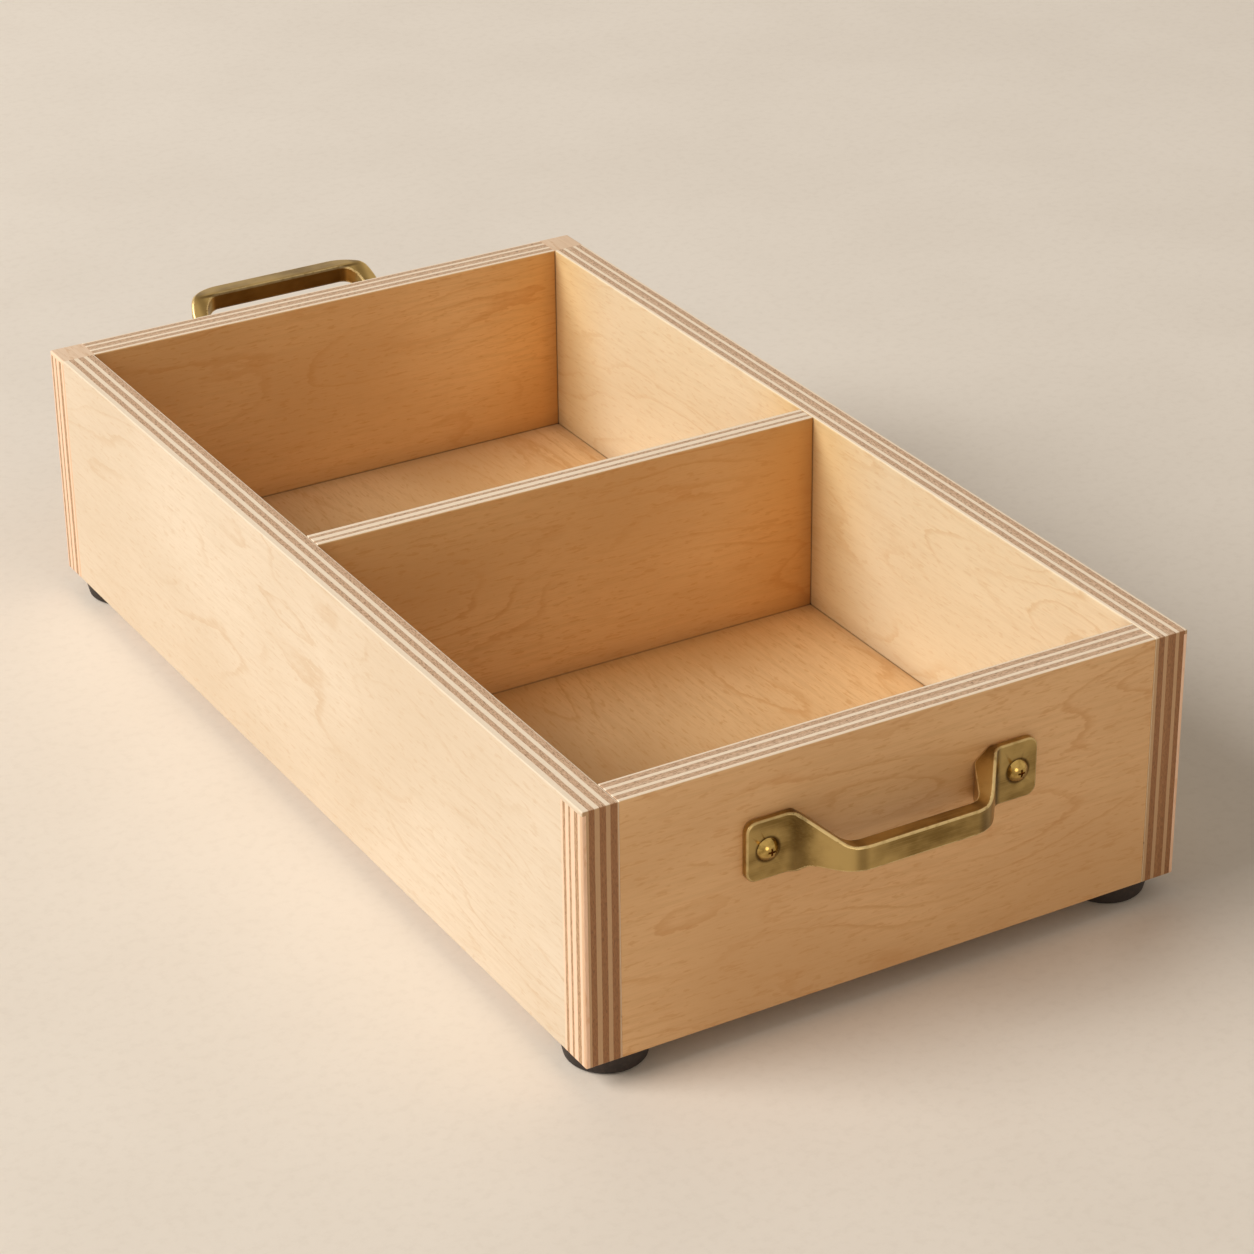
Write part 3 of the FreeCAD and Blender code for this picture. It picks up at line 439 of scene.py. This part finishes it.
def antique_brass(end, palm_face, grip_half):
    """The finish of one pull, with painted shade on its palm face, creases, bends and screw rings, and
    painted highlights.
    """
    finish = Finish("antique_brass_" + end)
    spot = finish.place()
    brush = finish.noise(spot, BRUSH_WAVES, detail=3.0, roughness=0.6)
    cloud = finish.noise(spot, CLOUD_WAVES, detail=3.0, roughness=0.55)
    rub = finish.noise(spot, RUB_WAVES)
    # The faces of narrow rounded edges: rubbed bright, and carrying a painted highlight as well.
    worn = Value(finish.put("Attribute", {"attribute_name": "worn"}, out="Fac"))
    worn = worn * finish.ease(rub, 0.10, 0.60)
    tone = finish.mix(finish.ease(cloud, 0.34, 0.74), BRUSHED_BRASS, DARK_BRASS)
    tone = finish.mix(finish.ease(brush, 0.42, 0.72) * 0.40, tone, BRUSHED_BRASS)
    low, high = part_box(end + "_pull")
    off_middle = abs(spot[X] - (low.x + high.x) / 2)
    # Painted highlight on the outsides of the legs; painted shade in the creases and across the bends.
    painted_leg_highlight = finish.near(off_middle - (grip_half + LEG_FROM_GRIP) * MM, LEG_CORE, LEG_END)
    painted_crease_shade = finish.near(off_middle - (grip_half + CREASE_FROM_GRIP) * MM, CREASE_CORE, CREASE_END)
    painted_bend_shade = finish.near(off_middle - (grip_half + BEND_FROM_GRIP) * MM, BEND_CORE, BEND_END)
    tone = finish.mix(painted_leg_highlight * 0.45, tone, PAINTED_HIGHLIGHT_BRASS)
    tone = finish.mix((painted_crease_shade * 0.62 + painted_bend_shade * 0.40).clamped(), tone, PAINTED_SHADE_BRASS)
    plate_starts = (grip_half + PLATE_FROM_GRIP) * MM
    worn = worn * (1.0 - finish.ease(off_middle, plate_starts, plate_starts + PLATE_FADE * MM) * 0.45)
    # Rubbed edges with a painted highlight on them.
    tone = finish.mix(worn * 0.75, tone, WEAR_AND_PAINTED_HIGHLIGHT_BRASS)
    # Painted shade on the palm face of the grip.
    on_grip = finish.near(off_middle, grip_half - GRIP_FADE, grip_half)
    painted_palm_shade = finish.near(spot[Y] - palm_face, PALM_CORE, PALM_END) * on_grip
    tone = finish.mix(painted_palm_shade * 0.75, tone, PAINTED_SHADE_BRASS)
    # Painted shade in a ring round each screw.
    for side in ("left", "right"):
        low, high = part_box(f"{end}_pull_screw_{side}")
        x, z = spot[X] - (low.x + high.x) / 2, spot[Z] - (low.z + high.z) / 2
        off_rim = (x * x + z * z) ** 0.5 - (high.x - low.x) / 2
        tone = finish.mix(finish.near(off_rim, RING_CORE, RING_END) * 0.9, tone, PAINTED_SHADE_BRASS)
    # The edges with the painted highlight are partly non-metallic, so they show bright.
    return finish.shade(Base_Color=tone, Metallic=1.0 - worn * 0.45, Roughness=brush * 0.12 + 0.26,
                        Normal=finish.bump(0.20, 0.1, brush))


BRIGHT_SCREW, DULL_SCREW = (0.54, 0.365, 0.115), (0.32, 0.205, 0.055)
finish = Finish("worn_brass")
cloud = finish.noise(finish.place(), RUB_WAVES, roughness=0.55)
tone = finish.mix(finish.ease(cloud, 0.35, 0.7), BRIGHT_SCREW, DULL_SCREW)
bright_brass = finish.shade(Base_Color=tone, Metallic=1.0, Roughness=cloud * 0.1 + 0.10)
for end, palm_face, grip_half in (
        ("front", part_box("front_pull")[0].y + FRONT_GRIP_DEPTH * MM, FRONT_GRIP_HALF),
        ("back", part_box("back_pull")[1].y - BACK_GRIP_DEPTH * MM, BACK_GRIP_HALF)):
    pull = end + "_pull"
    shape = bmesh.new()
    shape.from_mesh(parts[pull].data)
    bmesh.ops.remove_doubles(shape, verts=shape.verts, dist=MERGE_GAP)
    # Faces on narrow rounded edges are marked for wear and a painted highlight.
    mark = shape.faces.layers.float.new("worn")
    for edge in shape.edges:
        turn = edge.calc_face_angle(0.0)
        edge.smooth = turn < SHARP_TURN
        if turn * edge.calc_length() > EDGE_CURVATURE * sum(face.calc_area() for face in edge.link_faces):
            for face in edge.link_faces:
                face[mark] = 1.0
    for face in shape.faces:
        face.smooth = True
    piece = bpy.data.objects.new("finished_" + pull, bpy.data.meshes.new("finished_" + pull))
    shape.to_mesh(piece.data)
    shape.free()
    bpy.context.scene.collection.objects.link(piece)
    piece.data.materials.append(antique_brass(end, palm_face, grip_half))
    piece.modifiers.new("flat_faces_stay_flat", "WEIGHTED_NORMAL")
    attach(piece, "root")
    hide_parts(pull)
    for side in ("left", "right"):
        give(f"{end}_pull_screw_{side}", bright_brass)

# Low domed feet of dark rubber near the corners, each on a zinc-plated screw.
DARK_RUBBER, DUSTY_RUBBER = (0.020, 0.013, 0.010), (0.042, 0.028, 0.022)
BRIGHT_ZINC, GREY_ZINC = (0.66, 0.66, 0.64), (0.50, 0.50, 0.49)
BLOOM_WAVES = (500.0, 500.0, 500.0)
SPANGLE_WAVES = (700.0, 700.0, 700.0)
finish = Finish("dark_rubber")
bloom = finish.noise(finish.place(), BLOOM_WAVES, detail=3.0, roughness=0.6)
tone = finish.mix(finish.ease(bloom, 0.4, 0.75), DARK_RUBBER, DUSTY_RUBBER)
rubber = finish.shade(Base_Color=tone, Roughness=bloom * 0.2 + 0.55, Normal=finish.bump(0.3, 0.2, bloom))
finish = Finish("zinc_plate")
spangle = finish.noise(finish.place(), SPANGLE_WAVES)
zinc = finish.shade(Base_Color=finish.mix(spangle, BRIGHT_ZINC, GREY_ZINC), Metallic=1.0,
                    Roughness=spangle * 0.2 + 0.3)
for side in ("left", "right"):
    for end in ("front", "back"):
        give(f"foot_{end}_{side}", rubber)
        give(f"foot_screw_{end}_{side}", zinc)

# The set: a pale warm floor with painted light that makes it paler towards the back, a large soft
# lamp from the left and behind, and a weak warm one in front.
FLOOR_HALF = 14.0
PALE_FLOOR = (0.87, 0.785, 0.685)
FAR_FLOOR_PAINTED_LIGHT = (0.97, 0.88, 0.775)
FLOOR_STAIN = (0.3, 0.2, 0.1)
HAZE_WAVES = (7.0, 7.0, 0.0)
GRIT_WAVES = (180.0, 180.0, 0.0)
BACKWARD_X, BACKWARD_Y = 0.5, 0.87
PALER_FROM, PALEST_FROM = -0.6, 1.8
plane = bmesh.new()
bmesh.ops.create_grid(plane, x_segments=1, y_segments=1, size=FLOOR_HALF)
floor = bpy.data.objects.new("studio_floor", bpy.data.meshes.new("studio_floor"))
plane.to_mesh(floor.data)
plane.free()
bpy.context.scene.collection.objects.link(floor)
finish = Finish("pale_floor")
spot = finish.place()
haze = finish.noise(spot, HAZE_WAVES, detail=5.0, roughness=0.6)
grit = finish.noise(spot, GRIT_WAVES, detail=4.0, roughness=0.65)
# Painted light: the floor grows paler towards the back.
painted_light_towards_back = finish.ease(spot[Y] * BACKWARD_Y + spot[X] * BACKWARD_X, PALER_FROM, PALEST_FROM)
tone = finish.mix(painted_light_towards_back, PALE_FLOOR, FAR_FLOOR_PAINTED_LIGHT)
tone = finish.mix(finish.ease(haze, 0.3, 0.7) * 0.05, tone, FLOOR_STAIN)
tone = finish.mix(finish.ease(grit, 0.45, 0.7) * 0.05, tone, FLOOR_STAIN)
floor.data.materials.append(finish.shade(Base_Color=tone, Roughness=0.85))


def soft_lamp(name, place, target, size, power, colour):
    lamp = bpy.data.objects.new(name, bpy.data.lights.new(name, "AREA"))
    lamp.data.shape = "DISK"
    lamp.data.size = size
    lamp.data.energy = power
    lamp.data.color = colour
    lamp.location = place
    lamp.rotation_mode = "QUATERNION"
    lamp.rotation_quaternion = (Vector(target) - Vector(place)).to_track_quat("-Z", "Y")
    bpy.context.scene.collection.objects.link(lamp)


soft_lamp("key_lamp", place=(-5.4, 1.4, 4.1), target=(0.0, 0.4, 0.05), size=4.6, power=450.0,
          colour=(1.0, 0.985, 0.955))
soft_lamp("fill_lamp", place=(-1.0, -4.2, 0.9), target=(0.0, 0.0, 0.05), size=2.0, power=21.0,
          colour=(1.0, 0.87, 0.70))

# The world lights the object dimly, and the camera, metal and glass see a plain pale backdrop.
SKY, SKY_STRENGTH = (1.0, 0.93, 0.84), 0.29
BACKDROP = (0.80, 0.72, 0.62)
studio = Finish("studio", bpy.data.worlds)
rays = studio.put("LightPath").node
seen = Value(rays.outputs["Is Camera Ray"]) + Value(rays.outputs["Is Glossy Ray"])
seen = (seen + Value(rays.outputs["Is Transmission Ray"])).clamped()
sky = studio.put("Background", sockets={"Color": SKY, "Strength": SKY_STRENGTH})
backdrop = studio.put("Background", sockets={"Color": BACKDROP})
surface = studio.put("MixShader", sockets={0: seen, 1: sky, 2: backdrop})
studio.put("OutputWorld", sockets={"Surface": surface})
bpy.context.scene.world = studio.owner
bpy.context.scene.view_settings.view_transform = "Standard"
